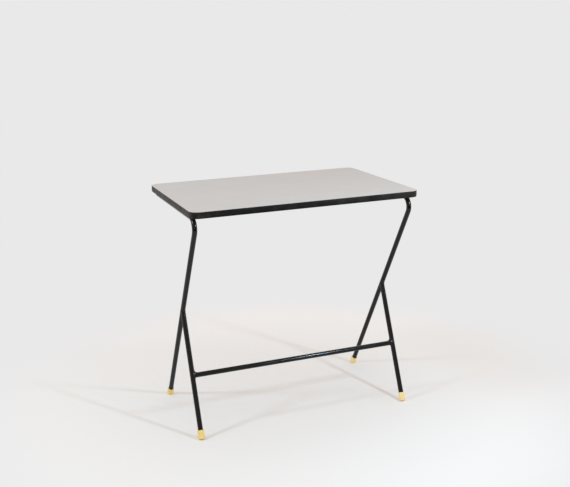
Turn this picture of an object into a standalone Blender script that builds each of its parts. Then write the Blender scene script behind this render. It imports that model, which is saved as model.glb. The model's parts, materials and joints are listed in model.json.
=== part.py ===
"""Side table: a laminate top on a welded frame of bent steel tube with push-on foot caps.

Metres, +Z up. The origin lies on the floor under the middle of the top. X runs along the top from
its left end to its right end, and Y runs from the front edge to the back edge.
"""

import math

import bmesh
import bpy
from mathutils import Vector

# Outline of the table
TABLE_HEIGHT = 0.650
TOP_LENGTH = 0.660
TOP_DEPTH = 0.440
TOP_CORNER_RADIUS = 0.025

# Layers of the top
LAMINATE_THICKNESS = 0.0012
CORE_THICKNESS = 0.0160
EDGE_BAND_THICKNESS = 0.0015
EDGE_SEAM_WIDTH = 0.0006

# Tube that the frame is made of, with the bend measured to its axis
TUBE_DIAMETER = 0.0140
TUBE_WALL = 0.0012
BEND_RADIUS = 0.0267

# Where the frame stands under the top, measured in from the edges of the top.
# The feet are measured where the tube axes meet the floor.
FRAME_END_INSET = 0.0165
BEND_FRONT_INSET = 0.0251
RAIL_BACK_INSET = 0.0300
FRONT_FOOT_INSET = 0.0490
REAR_FOOT_INSET = 0.0500

# Heights above the floor at which the tube axes of the frame meet
STRUT_JOINT_HEIGHT = 0.332
STRETCHER_HEIGHT = 0.163

# Weld beads: thicker in the crotches between two tubes than along their flush sides
BEAD_CROTCH_RADIUS = 0.0022
BEAD_CROTCH_STANDOFF = 0.0010
BEAD_SIDE_RADIUS = 0.0015
BEAD_SIDE_RISE = 0.0009

# Foot caps: the wall is measured at the rim, and the flare is what the base adds to the radius
FOOT_LENGTH = 0.025
FOOT_RIM_WALL = 0.0016
FOOT_FLARE = 0.0007
FOOT_SOLE = 0.0060
FOOT_EDGE_RADIUS = 0.0040
FOOT_FLAT_DEPTH = 0.0012

# Plugs in the open ends of the rails
PLUG_DOME_HEIGHT = 0.0030
PLUG_STEM_LENGTH = 0.0120
PLUG_CHAMFER = 0.0010

# Round-head wood screws that hold the top on the rails. Each one sits inside its rail with its head on
# the upper wall, and goes in by an access hole in the lower wall.
SCREWS_PER_RAIL = 3
SCREW_SHANK_DIAMETER = 0.0035
SCREW_HEAD_DIAMETER = 0.0066
SCREW_HEAD_HEIGHT = 0.0024
SCREW_POINT_LENGTH = 0.0045
SCREW_COVER = 0.0045
SCREW_END_MARGIN = 0.0200
SCREW_SLOT_WIDTH = 0.0010
SCREW_SLOT_DEPTH = 0.0012
SCREW_ACCESS_CLEARANCE = 0.0007

# Clearance left between pieces that touch
JOINT_GAP = 0.0003

# How finely round shapes are divided
TUBE_BEVEL_RESOLUTION = 6
BEND_STEPS = 10
CORNER_STEPS = 8
CAP_STEPS = 20
EDGE_STEPS = 5
FASTENER_STEPS = 12
BEAD_POINTS = 24
BEAD_BEVEL_RESOLUTION = 2
BEAD_CORNER_SOFTNESS = 0.2
SPACE_STEPS = 24
SMOOTH_ANGLE = math.radians(35)
MERGE_DISTANCE = 0.00001

# Levels of the top and of the rails under it
CORE_TOP = TABLE_HEIGHT - LAMINATE_THICKNESS - JOINT_GAP
CORE_BOTTOM = CORE_TOP - CORE_THICKNESS
TUBE_RADIUS = TUBE_DIAMETER / 2
BORE_RADIUS = TUBE_RADIUS - TUBE_WALL
RAIL_HEIGHT = CORE_BOTTOM - JOINT_GAP - TUBE_RADIUS
FRONT_EDGE = -TOP_DEPTH / 2
BACK_EDGE = TOP_DEPTH / 2
CUT_MARGIN = TUBE_DIAMETER

# Points and directions of one end frame, in its own plane x = 0
RAIL_END = Vector((0, BACK_EDGE - RAIL_BACK_INSET, RAIL_HEIGHT))
BEND_FRONT = FRONT_EDGE + BEND_FRONT_INSET
BEND_CENTRE = Vector((0, BEND_FRONT + TUBE_RADIUS + BEND_RADIUS, RAIL_HEIGHT - BEND_RADIUS))
FRONT_FOOT = Vector((0, FRONT_EDGE + FRONT_FOOT_INSET, 0))
REAR_FOOT = Vector((0, BACK_EDGE - REAR_FOOT_INSET, 0))

# The leg leaves the rear foot as the tangent to the bend, on its front side
LEG_REACH = BEND_CENTRE - REAR_FOOT
LEG_SLANT = math.atan2(-LEG_REACH.y, LEG_REACH.z) + math.asin(BEND_RADIUS / LEG_REACH.length)
LEG_UP = Vector((0, -math.sin(LEG_SLANT), math.cos(LEG_SLANT)))
LEG_FRONT = Vector((0, -math.cos(LEG_SLANT), -math.sin(LEG_SLANT)))
BEND_START = BEND_CENTRE + LEG_FRONT * BEND_RADIUS
STRUT_JOINT = REAR_FOOT + LEG_UP * (STRUT_JOINT_HEIGHT / LEG_UP.z)
STRUT_UP = (STRUT_JOINT - FRONT_FOOT).normalized()
STRETCHER_JOINT = FRONT_FOOT + STRUT_UP * (STRETCHER_HEIGHT / STRUT_UP.z)

# Foot caps and screws
FOOT_BORE_RADIUS = TUBE_RADIUS + JOINT_GAP
FOOT_RIM_RADIUS = FOOT_BORE_RADIUS + FOOT_RIM_WALL
FOOT_BASE_RADIUS = FOOT_RIM_RADIUS + FOOT_FLARE
SCREW_HEAD_RADIUS = SCREW_HEAD_DIAMETER / 2
SCREW_ACCESS_RADIUS = SCREW_HEAD_RADIUS + SCREW_ACCESS_CLEARANCE
SCREW_SEAT = RAIL_HEIGHT + math.sqrt((BORE_RADIUS - JOINT_GAP) ** 2 - SCREW_HEAD_RADIUS**2)
SCREW_TIP = CORE_TOP - SCREW_COVER
SCREW_LENGTH = SCREW_TIP - SCREW_SEAT
FIRST_SCREW_Y = BEND_CENTRE.y + SCREW_END_MARGIN
LAST_SCREW_Y = RAIL_END.y - PLUG_STEM_LENGTH - SCREW_END_MARGIN

# The end frames, by the side they stand on as seen from the front
SIDES = {
    "left": Vector((FRAME_END_INSET - TOP_LENGTH / 2, 0, 0)),
    "right": Vector((TOP_LENGTH / 2 - FRAME_END_INSET, 0, 0)),
}


def linear(colour):
    """Linear red, green and blue of an sRGB hex colour."""
    channels = [int(colour[start : start + 2], 16) / 255 for start in (1, 3, 5)]
    return [c / 12.92 if c <= 0.04045 else ((c + 0.055) / 1.055) ** 2.4 for c in channels]


def finish(name, colour, roughness, metallic=0.0):
    """A plain Principled material."""
    material = bpy.data.materials.new(name)
    material.use_nodes = True
    shader = material.node_tree.nodes["Principled BSDF"]
    shader.inputs["Base Color"].default_value = (*linear(colour), 1)
    shader.inputs["Roughness"].default_value = roughness
    shader.inputs["Metallic"].default_value = metallic
    return material


def new_collection(name):
    collection = bpy.data.collections.new(name)
    bpy.context.scene.collection.children.link(collection)
    return collection


def mesh_from(shape, name):
    """Ends a bmesh and keeps it as a mesh, shaded smooth apart from its sharp edges."""
    mesh = bpy.data.meshes.new(name)
    shape.to_mesh(mesh)
    shape.free()
    mesh.shade_smooth()
    mesh.set_sharp_from_angle(angle=SMOOTH_ANGLE)
    return mesh


def add_part(name, mesh, material):
    """A piece of the table."""
    part = bpy.data.objects.new(name, mesh)
    mesh.materials.append(material)
    PARTS.objects.link(part)
    part.parent = ORIGIN
    return part


def add_cutter(name, mesh):
    """A helper that only cuts other pieces."""
    cutter = bpy.data.objects.new(name, mesh)
    CUTTERS.objects.link(cutter)
    cutter.hide_render = True
    cutter.display_type = "WIRE"
    return cutter


def cut(part, *cutters):
    for cutter in cutters:
        boolean = part.modifiers.new(f"cut by {cutter.name}", "BOOLEAN")
        boolean.operation = "DIFFERENCE"
        boolean.solver = "EXACT"
        boolean.object = cutter


def place(part, point, axis):
    """Puts an object's origin at a point, with its own Z along an axis."""
    part.location = point
    part.rotation_mode = "QUATERNION"
    part.rotation_quaternion = axis.to_track_quat("Z", "Y")


def slab(name, length, depth, thickness, corner_radius, bottom):
    """Mesh of a flat board with rounded upright corners, centred on the origin."""
    shape = bmesh.new()
    bmesh.ops.create_cube(shape, size=1)
    bmesh.ops.scale(shape, verts=shape.verts, vec=(length, depth, thickness))
    upright = [edge for edge in shape.edges if edge.verts[0].co.z * edge.verts[1].co.z < 0]
    bmesh.ops.bevel(
        shape, geom=upright, offset=corner_radius, segments=CORNER_STEPS, profile=0.5, affect="EDGES"
    )
    bmesh.ops.translate(shape, verts=shape.verts, vec=(0, 0, bottom + thickness / 2))
    return mesh_from(shape, name)


def box_cutter(name, size, centre):
    shape = bmesh.new()
    bmesh.ops.create_cube(shape, size=1)
    bmesh.ops.scale(shape, verts=shape.verts, vec=size)
    cutter = add_cutter(name, mesh_from(shape, name))
    cutter.location = centre
    return cutter


def rod_cutter(name, start, end, radius, steps):
    """A solid rod between two points."""
    shape = bmesh.new()
    bmesh.ops.create_cone(
        shape,
        cap_ends=True,
        segments=steps,
        radius1=radius,
        radius2=radius,
        depth=(end - start).length,
    )
    cutter = add_cutter(name, mesh_from(shape, name))
    place(cutter, (start + end) / 2, end - start)
    return cutter


def swept_mesh(name, route, thickness, bevel_resolution, closed=False):
    """Surface round a route of points, with a radius at each of them; an open route is left uncapped."""
    curve = bpy.data.curves.new(name, "CURVE")
    curve.dimensions = "3D"
    curve.bevel_depth = 1
    curve.bevel_resolution = bevel_resolution
    spline = curve.splines.new("POLY")
    spline.points.add(len(route) - 1)
    for point, place_of_point, radius in zip(spline.points, route, thickness):
        point.co = (*place_of_point, 1)
        point.radius = radius
    spline.use_cyclic_u = closed
    guide = bpy.data.objects.new(name, curve)
    CUTTERS.objects.link(guide)
    graph = bpy.context.evaluated_depsgraph_get()
    shape = bmesh.new()
    shape.from_mesh(bpy.data.meshes.new_from_object(guide.evaluated_get(graph), depsgraph=graph))
    bpy.data.objects.remove(guide)
    bmesh.ops.remove_doubles(shape, verts=shape.verts, dist=MERGE_DISTANCE)
    bmesh.ops.recalc_face_normals(shape, faces=shape.faces)
    return mesh_from(shape, name)


def tube(name, route, material):
    """Open-ended tube of the frame's size along a route."""
    mesh = swept_mesh(name, route, [TUBE_RADIUS] * len(route), TUBE_BEVEL_RESOLUTION)
    part = add_part(name, mesh, material)
    wall = part.modifiers.new("wall", "SOLIDIFY")
    wall.thickness = TUBE_WALL
    wall.offset = -1
    wall.use_even_offset = True
    return part


def tube_space(name, start, end):
    """Cutter for the room that a straight tube takes, with its clearance."""
    return rod_cutter(name, start, end, TUBE_RADIUS + JOINT_GAP, SPACE_STEPS)


def turned(name, profile, steps, material):
    """Solid of revolution about its own Z, from (radius, height) points that end down its outer side."""
    shape = bmesh.new()
    points = [shape.verts.new((radius, 0, height)) for radius, height in profile]
    for upper, lower in zip(points, points[1:]):
        shape.edges.new((upper, lower))
    mesh = bpy.data.meshes.new(name)
    shape.to_mesh(mesh)
    shape.free()
    part = add_part(name, mesh, material)
    turn = part.modifiers.new("turn", "SCREW")
    turn.axis = "Z"
    turn.steps = steps
    turn.render_steps = steps
    turn.use_merge_vertices = True
    turn.merge_threshold = MERGE_DISTANCE
    turn.use_smooth_shade = True
    return part


def quarter_arc(centre_radius, centre_height, radius, height, start, end):
    """Points of a round profile edge between two angles in degrees, measured from outward."""
    angles = [math.radians(start + (end - start) * step / EDGE_STEPS) for step in range(EDGE_STEPS + 1)]
    return [(centre_radius + radius * math.cos(a), centre_height + height * math.sin(a)) for a in angles]


def foot_base(foot, up):
    """Middle of a cap's sole, so that the floor takes FOOT_FLAT_DEPTH off the low edge of the sole."""
    lean = math.sqrt(1 - up.z**2)
    low_edge = FOOT_EDGE_RADIUS * (up.z - 1) - (FOOT_BASE_RADIUS - FOOT_EDGE_RADIUS) * lean
    return foot - up * ((low_edge + FOOT_FLAT_DEPTH) / up.z)


def tube_end(foot, up):
    """Where a tube ends inside its foot cap."""
    return foot_base(foot, up) + up * (FOOT_SOLE + JOINT_GAP)


def leg_route():
    """Axis of a bent tube: up the leg from its cap, round the bend and back along the rail."""
    turn = math.pi / 2 + LEG_SLANT
    angles = [turn * step / BEND_STEPS for step in range(BEND_STEPS + 1)]
    bend = [BEND_CENTRE + (LEG_FRONT * math.cos(a) + LEG_UP * math.sin(a)) * BEND_RADIUS for a in angles]
    return [tube_end(REAR_FOOT, LEG_UP), *bend, RAIL_END]


def screw_places():
    spacing = (LAST_SCREW_Y - FIRST_SCREW_Y) / (SCREWS_PER_RAIL - 1)
    return [Vector((0, FIRST_SCREW_Y + spacing * number, SCREW_SEAT)) for number in range(SCREWS_PER_RAIL)]


def bead_route(joint, main, branch):
    """Route and radii of a weld bead round a branch tube where it meets the side of a main tube."""
    cosine = main.dot(branch)
    sine = math.sqrt(1 - cosine**2)
    toward = (main - branch * cosine) / sine
    across = branch.cross(toward)
    side_standoff = BEAD_SIDE_RISE - BEAD_SIDE_RADIUS
    route = []
    radii = []
    for step in range(BEAD_POINTS):
        angle = math.tau * step / BEAD_POINTS
        lean = math.sin(angle)
        crotch = math.hypot(lean, BEAD_CORNER_SOFTNESS) / math.hypot(1, BEAD_CORNER_SOFTNESS)
        reach = TUBE_RADIUS + side_standoff + (BEAD_CROTCH_STANDOFF - side_standoff) * crotch
        along = reach * (crotch + lean * cosine) / sine
        route.append(joint + branch * along + (across * math.cos(angle) + toward * lean) * reach)
        radii.append(BEAD_SIDE_RADIUS + (BEAD_CROTCH_RADIUS - BEAD_SIDE_RADIUS) * crotch)
    return route, radii


def make_top():
    """Board, black strip round its edge and grey laminate over both; gives the board for drilling."""
    board_inset = EDGE_BAND_THICKNESS + JOINT_GAP
    core = add_part(
        "top_core",
        slab(
            "top_core",
            TOP_LENGTH - 2 * board_inset,
            TOP_DEPTH - 2 * board_inset,
            CORE_THICKNESS,
            TOP_CORNER_RADIUS - board_inset,
            CORE_BOTTOM,
        ),
        finish("plywood", "#c2a06c", 0.6),
    )
    band = add_part(
        "edge_band",
        slab("edge_band", TOP_LENGTH, TOP_DEPTH, CORE_THICKNESS, TOP_CORNER_RADIUS, CORE_BOTTOM),
        finish("black edge strip", "#2a2723", 0.45),
    )
    inside = slab(
        "edge_band_inside",
        TOP_LENGTH - 2 * EDGE_BAND_THICKNESS,
        TOP_DEPTH - 2 * EDGE_BAND_THICKNESS,
        CORE_THICKNESS + 2 * CUT_MARGIN,
        TOP_CORNER_RADIUS - EDGE_BAND_THICKNESS,
        CORE_BOTTOM - CUT_MARGIN,
    )
    seam_size = (EDGE_SEAM_WIDTH, 4 * EDGE_BAND_THICKNESS, CORE_THICKNESS + 2 * CUT_MARGIN)
    seam_centre = (0, BACK_EDGE, CORE_BOTTOM + CORE_THICKNESS / 2)
    cut(band, add_cutter("edge_band_inside", inside), box_cutter("edge_seam", seam_size, seam_centre))
    laminate_bottom = TABLE_HEIGHT - LAMINATE_THICKNESS
    add_part(
        "top_laminate",
        slab("top_laminate", TOP_LENGTH, TOP_DEPTH, LAMINATE_THICKNESS, TOP_CORNER_RADIUS, laminate_bottom),
        finish("grey laminate", "#c9c6c1", 0.4),
    )
    return core


def make_foot(name, foot, up, floor, material):
    """Flared cap on a tube end, with a small flat where it stands on the floor."""
    edge = quarter_arc(
        FOOT_BASE_RADIUS - FOOT_EDGE_RADIUS, FOOT_EDGE_RADIUS, FOOT_EDGE_RADIUS, FOOT_EDGE_RADIUS, 0, -90
    )
    bore = [(0, FOOT_SOLE), (FOOT_BORE_RADIUS, FOOT_SOLE), (FOOT_BORE_RADIUS, FOOT_LENGTH)]
    cap = turned(name, [*bore, (FOOT_RIM_RADIUS, FOOT_LENGTH), *edge, (0, 0)], CAP_STEPS, material)
    place(cap, foot_base(foot, up), up)
    cut(cap, floor)


def make_plug(name, side, material):
    """Domed plug pushed in the open end of a rail."""
    stem_radius = BORE_RADIUS - JOINT_GAP
    dome = quarter_arc(0, JOINT_GAP, TUBE_RADIUS, PLUG_DOME_HEIGHT, 90, 0)
    stem = [
        (stem_radius, JOINT_GAP),
        (stem_radius, PLUG_CHAMFER - PLUG_STEM_LENGTH),
        (stem_radius - PLUG_CHAMFER, -PLUG_STEM_LENGTH),
        (0, -PLUG_STEM_LENGTH),
    ]
    plug = turned(name, [(0, dome[0][1]), *dome[1:], *stem], CAP_STEPS, material)
    place(plug, side + RAIL_END, Vector((0, 1, 0)))


def make_screw(name, seat, material):
    """Slotted screw that points up, with the underside of its head on the seat."""
    shank_radius = SCREW_SHANK_DIAMETER / 2
    shank = [(0, SCREW_LENGTH), (shank_radius, SCREW_LENGTH - SCREW_POINT_LENGTH), (shank_radius, 0)]
    head = quarter_arc(0, 0, SCREW_HEAD_RADIUS, SCREW_HEAD_HEIGHT, 0, -90)
    screw = turned(name, [*shank, *head[:-1], (0, -SCREW_HEAD_HEIGHT)], FASTENER_STEPS, material)
    place(screw, seat, Vector((0, 0, 1)))
    slot_size = (2 * SCREW_HEAD_DIAMETER, SCREW_SLOT_WIDTH, 2 * SCREW_SLOT_DEPTH)
    cut(screw, box_cutter(f"{name}_slot", slot_size, seat - Vector((0, 0, SCREW_HEAD_HEIGHT))))


def drill_screw_hole(name, seat):
    """Cutter for a screw's hole through the upper wall of the rail and up into the board."""
    start = Vector((seat.x, seat.y, RAIL_HEIGHT))
    end = seat + Vector((0, 0, SCREW_LENGTH + JOINT_GAP))
    return rod_cutter(f"{name}_hole", start, end, SCREW_SHANK_DIAMETER / 2 + JOINT_GAP, FASTENER_STEPS)


def drill_access_hole(name, seat):
    """Cutter for the hole in the lower wall of the rail that the screw's head goes in by."""
    start = Vector((seat.x, seat.y, RAIL_HEIGHT - CUT_MARGIN))
    end = Vector((seat.x, seat.y, RAIL_HEIGHT))
    return rod_cutter(f"{name}_access", start, end, SCREW_ACCESS_RADIUS, CAP_STEPS)


def make_bead(name, joint, main, branch, envelopes, material):
    """Weld bead between two tubes, cut back to their surfaces."""
    route, radii = bead_route(joint, main, branch)
    bead = add_part(name, swept_mesh(name, route, radii, BEAD_BEVEL_RESOLUTION, closed=True), material)
    cut(bead, *envelopes)


def make_frame(core):
    """Both end frames, the stretcher between them, and what is fastened to them."""
    enamel = finish("black enamel", "#1d1b1c", 0.25)
    weld = finish("black enamel on weld", "#1b1a1a", 0.35)
    cap = finish("pale yellow plastic", "#ead08a", 0.5)
    plug = finish("black plastic", "#1f1f1f", 0.5)
    steel = finish("zinc plated steel", "#b9b7b0", 0.35, 1.0)
    floor_size = (2 * TOP_LENGTH, 2 * TOP_DEPTH, FOOT_LENGTH)
    floor = box_cutter("floor", floor_size, (0, 0, -FOOT_LENGTH / 2))
    left_end = SIDES["left"] + STRETCHER_JOINT
    right_end = SIDES["right"] + STRETCHER_JOINT
    stretcher = tube("stretcher", [left_end, right_end], enamel)
    stretcher_space = tube_space("stretcher_space", left_end, right_end)
    for side, offset in SIDES.items():
        leg_space = tube_space(f"{side}_leg_space", offset + REAR_FOOT, offset + BEND_START)
        strut_space = tube_space(f"{side}_strut_space", offset + FRONT_FOOT, offset + STRUT_JOINT)

        leg = tube(f"{side}_leg_tube", [offset + point for point in leg_route()], enamel)
        strut_ends = [offset + tube_end(FRONT_FOOT, STRUT_UP), offset + STRUT_JOINT]
        strut = tube(f"{side}_front_strut", strut_ends, enamel)
        cut(strut, leg_space)
        cut(stretcher, strut_space)

        strut_envelopes = (leg_space, strut_space)
        make_bead(f"{side}_strut_weld", offset + STRUT_JOINT, LEG_UP, -STRUT_UP, strut_envelopes, weld)
        inward = -offset.normalized()
        stretcher_envelopes = (strut_space, stretcher_space)
        stretcher_end = offset + STRETCHER_JOINT
        make_bead(f"{side}_stretcher_weld", stretcher_end, STRUT_UP, inward, stretcher_envelopes, weld)

        make_foot(f"{side}_front_foot", offset + FRONT_FOOT, STRUT_UP, floor, cap)
        make_foot(f"{side}_rear_foot", offset + REAR_FOOT, LEG_UP, floor, cap)
        make_plug(f"{side}_rail_plug", offset, plug)
        for number, seat in enumerate(screw_places(), start=1):
            name = f"{side}_rail_screw_{number}"
            hole = drill_screw_hole(name, offset + seat)
            cut(leg, drill_access_hole(name, offset + seat), hole)
            cut(core, hole)
            make_screw(name, offset + seat, steel)


for leftover in list(bpy.data.objects):
    bpy.data.objects.remove(leftover)
PARTS = new_collection("side_table")
CUTTERS = new_collection("cutters")
ORIGIN = bpy.data.objects.new("side_table_origin", None)
PARTS.objects.link(ORIGIN)
make_frame(make_top())
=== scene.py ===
"""Side table: fine meshes and finishes for a laminate-topped table on a welded tube frame.

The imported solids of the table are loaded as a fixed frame. The board keeps its solid, and every other piece
is modelled again in detail where its solid stands. Each gets its finish, and the table is set on a pale
studio floor in front of a camera.
Metres, +Z up. X runs along the top from left to right, and Y from its front edge to its back edge.
"""

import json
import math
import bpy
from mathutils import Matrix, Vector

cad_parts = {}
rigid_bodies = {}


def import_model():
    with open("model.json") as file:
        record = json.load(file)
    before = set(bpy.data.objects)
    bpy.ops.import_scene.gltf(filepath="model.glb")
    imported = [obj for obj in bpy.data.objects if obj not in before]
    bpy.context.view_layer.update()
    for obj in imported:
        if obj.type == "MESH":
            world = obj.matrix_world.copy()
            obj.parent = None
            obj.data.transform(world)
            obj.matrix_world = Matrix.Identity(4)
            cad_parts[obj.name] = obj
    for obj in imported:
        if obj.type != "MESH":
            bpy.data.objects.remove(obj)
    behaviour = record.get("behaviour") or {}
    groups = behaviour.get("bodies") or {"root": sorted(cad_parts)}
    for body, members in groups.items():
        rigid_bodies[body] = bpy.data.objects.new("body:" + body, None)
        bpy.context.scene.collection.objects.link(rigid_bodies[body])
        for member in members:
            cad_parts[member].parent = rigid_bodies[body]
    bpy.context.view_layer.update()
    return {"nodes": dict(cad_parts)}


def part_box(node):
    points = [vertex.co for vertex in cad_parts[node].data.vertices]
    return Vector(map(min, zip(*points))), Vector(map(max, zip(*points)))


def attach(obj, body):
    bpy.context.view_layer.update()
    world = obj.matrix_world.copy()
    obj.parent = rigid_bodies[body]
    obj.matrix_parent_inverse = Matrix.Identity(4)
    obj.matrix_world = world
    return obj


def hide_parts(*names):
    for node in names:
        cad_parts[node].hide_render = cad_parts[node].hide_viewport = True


bl_info = {
    "name": "Side Table",
    "version": (1, 0, 0),
    "blender": (4, 5, 0),
    "location": "3D View > Sidebar > Side Table",
    "description": "Builds a side table with a laminate top on a welded tube frame",
    "category": "Add Mesh",
}

from functools import partial

import bmesh
import bpy
from bmesh.types import BMEdge, BMVert
from bpy.props import FloatProperty, FloatVectorProperty, IntProperty, PointerProperty
from mathutils import Matrix, Vector

for leftover in list(bpy.data.objects):
    bpy.data.objects.remove(leftover)
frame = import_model()

# Places and sizes that the solids give
LAMINATE_LOW, LAMINATE_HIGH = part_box("top_laminate")
BAND_LOW, BAND_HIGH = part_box("edge_band")
LEG_LOW, LEG_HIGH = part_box("left_leg_tube")
TUBE_RADIUS = (LEG_HIGH.x - LEG_LOW.x) / 2
RAIL_HEIGHT = LEG_HIGH.z - TUBE_RADIUS
SIDES = {side: Vector((sum(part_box(f"{side}_leg_tube"), Vector()).x / 2, 0, 0)) for side in ("left", "right")}
BODY = "root"

RIGHT = Vector((1, 0, 0))
BACK = Vector((0, 1, 0))
UP = Vector((0, 0, 1))

# How finely round shapes are divided
TUBE_SIDES = 48
BEND_STEPS = 28
CORNER_STEPS = 20
CROWN_STEPS = 9
ARRIS_STEPS = 3
CAP_SIDES = 64
EDGE_STEPS = 8
FASTENER_SIDES = 32
DOME_STEPS = 8
WELD_SIDES = 96
WELD_STEPS = 8
SMOOTH_ANGLE = math.radians(32)
MERGE = 0.000001
# A face is level when its normal is at least this upright
LEVEL = 0.9

# Ripples round a weld, and how deep its root lies inside the joint
WELD_RIPPLES = 22
WELD_ROOT = 0.0010

# Where the finishes have aged, and where light and shade are painted: the rubbed corner of the strip, how far
# it is bare and how far it is rubbed, the left end of the strip that is painted lighter as painted light, the
# height of the painted shade at the foot of a cap, and the way that the laminate was wiped
RUBBED_CORNER = Vector((LAMINATE_LOW.x + 0.03, LAMINATE_LOW.y, BAND_HIGH.z))
RUBBED_BARE = 0.010
RUBBED_REACH = 0.06
PAINTED_LIGHT_END = 0.008
PAINTED_SHADE_HEIGHT = 0.004
WIPE_ANGLE = math.radians(24)

# The enamel is glossier on the tubes than on the welds
TUBE_ROUGHNESS = 0.15
WELD_ROUGHNESS = 0.32

# Nearly all of a noise pattern lies between these values
NOISE_RANGE = {"From Min": 0.3, "From Max": 0.7}

# The way to the back right, along which the light of the lamps falls off, and where the paper makes up for it
FALL_OFF = (0.45, 0.9, 0)
FALL_OFF_NEAR = 0.35
FALL_OFF_FAR = 0.75

# Y of a reflection's direction: below the first value it sees the dim room, and above the second full light
ROOM_AHEAD = -0.7
ROOM_BEHIND = 0.2


def linear(code):
    """Linear red, green and blue of an sRGB hex colour."""
    channels = [int(code[start : start + 2], 16) / 255 for start in (1, 3, 5)]
    return [c / 12.92 if c <= 0.04045 else ((c + 0.055) / 1.055) ** 2.4 for c in channels]


def amount(name, description, default, unit="NONE"):
    return FloatProperty(name=name, description=description, default=default, min=0, precision=4, unit=unit)


def length(name, description, default):
    return amount(name, description, default, "LENGTH")


def degrees(name, description, default):
    return FloatProperty(name=name, description=description, default=math.radians(default), subtype="ANGLE")


def position(name, description, default):
    return FloatVectorProperty(name=name, description=description, default=default, subtype="TRANSLATION")


def colour(name, description, code):
    return FloatVectorProperty(
        name=name, description=description, default=linear(code), min=0, max=1, subtype="COLOR"
    )


class TopSizes(bpy.types.PropertyGroup):
    """Sizes of the laminate and of the black strip round the edge."""

    corner_radius: length("Corner radius", "Radius of the upright corners of the top", 0.025)
    arris: length("Arris", "Width filed off the upper edge of the laminate", 0.0004)
    strip_thickness: length("Strip thickness", "Thickness of the black strip", 0.0015)
    strip_crown: length("Strip crown", "How far the middle of the strip stands proud of its edges", 0.0006)
    seam_width: length("Seam width", "Gap where the ends of the strip meet at the back", 0.0006)


class TubeSizes(bpy.types.PropertyGroup):
    """Sizes of the tube frame, measured to the tube axes and in from the edges of the top."""

    wall: length("Wall", "Wall thickness of the tube", 0.0012)
    bend_radius: length("Bend radius", "Radius of the bend between rail and leg", 0.0267)
    bend_inset: length("Bend inset", "From the front edge of the top to the face of the bend", 0.0251)
    front_foot_inset: length("Front foot inset", "From the front edge to the front tube on the floor", 0.049)
    rear_foot_inset: length("Rear foot inset", "From the back edge to the leg on the floor", 0.050)
    strut_height: length("Strut joint height", "Where the front tube meets the leg", 0.332)
    stretcher_height: length("Stretcher height", "Height of the cross tube", 0.163)
    strut_weld: length("Strut weld", "Leg of the weld in the open corner between front tube and leg", 0.0048)
    stretcher_weld: length("Stretcher weld", "Leg of the weld above the cross tube", 0.0088)
    weld_lower: length("Lower weld", "Leg of the weld in the lower or narrow corner of a joint", 0.0034)
    weld_side: length("Side weld", "Leg of the weld on the flush sides of a joint", 0.0024)
    weld_rise: length("Weld rise", "How far the weld swells out of its corner", 0.0009)
    weld_ripple: length("Weld ripple", "Depth of the ripple left by the welding rod", 0.00015)


class FootSizes(bpy.types.PropertyGroup):
    """Sizes of the push-on foot caps."""

    cap_length: length("Length", "From the sole to the rim", 0.025)
    rim_wall: length("Rim wall", "Wall thickness at the rim", 0.0016)
    flare: length("Flare", "What the base adds to the radius of the rim", 0.0007)
    sole: length("Sole", "Thickness under the end of the tube", 0.0060)
    base_edge: length("Base edge", "Rounding of the sole", 0.0040)
    rim_edge: length("Rim edge", "Rounding of the rim", 0.0007)
    flat_depth: length("Flat depth", "What the floor takes off the low edge of the sole", 0.0012)
    clearance: length("Clearance", "Between tube and cap", 0.0003)


class FastenerSizes(bpy.types.PropertyGroup):
    """Sizes of the rail plugs and of the screws that hold the top on."""

    plug_dome: length("Plug dome", "Height of the plug's dome", 0.0030)
    plug_stem: length("Plug stem", "Length of the plug inside the tube", 0.0120)
    plug_chamfer: length("Plug chamfer", "Chamfer on the end of the stem", 0.0010)
    head_diameter: length("Head diameter", "Diameter of the screw head", 0.0066)
    head_height: length("Head height", "Height of the screw head", 0.0024)
    shank_diameter: length("Shank diameter", "Diameter of the screw shank", 0.0035)
    point_length: length("Point length", "Length of the screw's point", 0.0045)
    slot_width: length("Slot width", "Width of the screw slot", 0.0010)
    slot_depth: length("Slot depth", "Depth of the screw slot", 0.0012)
    access: length("Access", "Room round a screw head in the hole that it goes in by", 0.0007)
    clearance: length("Clearance", "Between a fastener and what it sits on", 0.0003)
    screws_per_rail: IntProperty(name="Screws per rail", description="Screws in each rail", default=3, min=1)


class FinishColours(bpy.types.PropertyGroup):
    """Colours of the finishes, of the studio and of its light."""

    laminate: colour("Laminate", "Grey of the top", "#c7c3c0")
    laminate_core: colour("Laminate core", "Resin-soaked brown paper in the edge of the laminate", "#46321f")
    strip: colour("Strip", "Black strip round the edge", "#080707")
    # This grey also stands for painted light: the strip is painted lighter to the right of the front and on
    # its left end
    strip_dust_and_light: colour("Dusty strip", "Grey of the strip where dust and scratches dull it, also used as painted light", "#24201c")
    strip_worn: colour("Worn strip", "Brown that shows where the strip is rubbed", "#372c1e")
    enamel: colour("Enamel", "Black enamel of the tubes", "#050505")
    cap: colour("Cap", "Yellow plastic of the foot caps", "#f5db9c")
    cap_aged: colour("Aged cap", "Deeper yellow that the caps on the left have gone", "#efd27f")
    cap_soil_and_shade: colour("Cap dirt", "Painted shade at the floor and soil in the scuffs of the caps", "#9c8853")
    plywood: colour("Plywood", "Bare underside of the board", "#b8966a")
    # This colour also stands for painted shade over the lowest millimetres of the caps
    plywood_grain: colour("Plywood grain", "Dark grain of the board", "#8d6b42")
    zinc: colour("Zinc", "Plating of the screws", "#b4b2ac")
    plug: colour("Plug", "Black plastic of the rail plugs", "#1b1b1b")
    paper: colour("Paper", "Studio floor", "#f3f0ee")
    backdrop: colour("Backdrop", "Studio background", "#e9e9ea")
    fill_light: colour("Fill light", "Warm light from all round", "#f7efe9")
    lamp_light: colour("Lamp light", "Cool light of the lamps", "#c8eaff")


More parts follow.
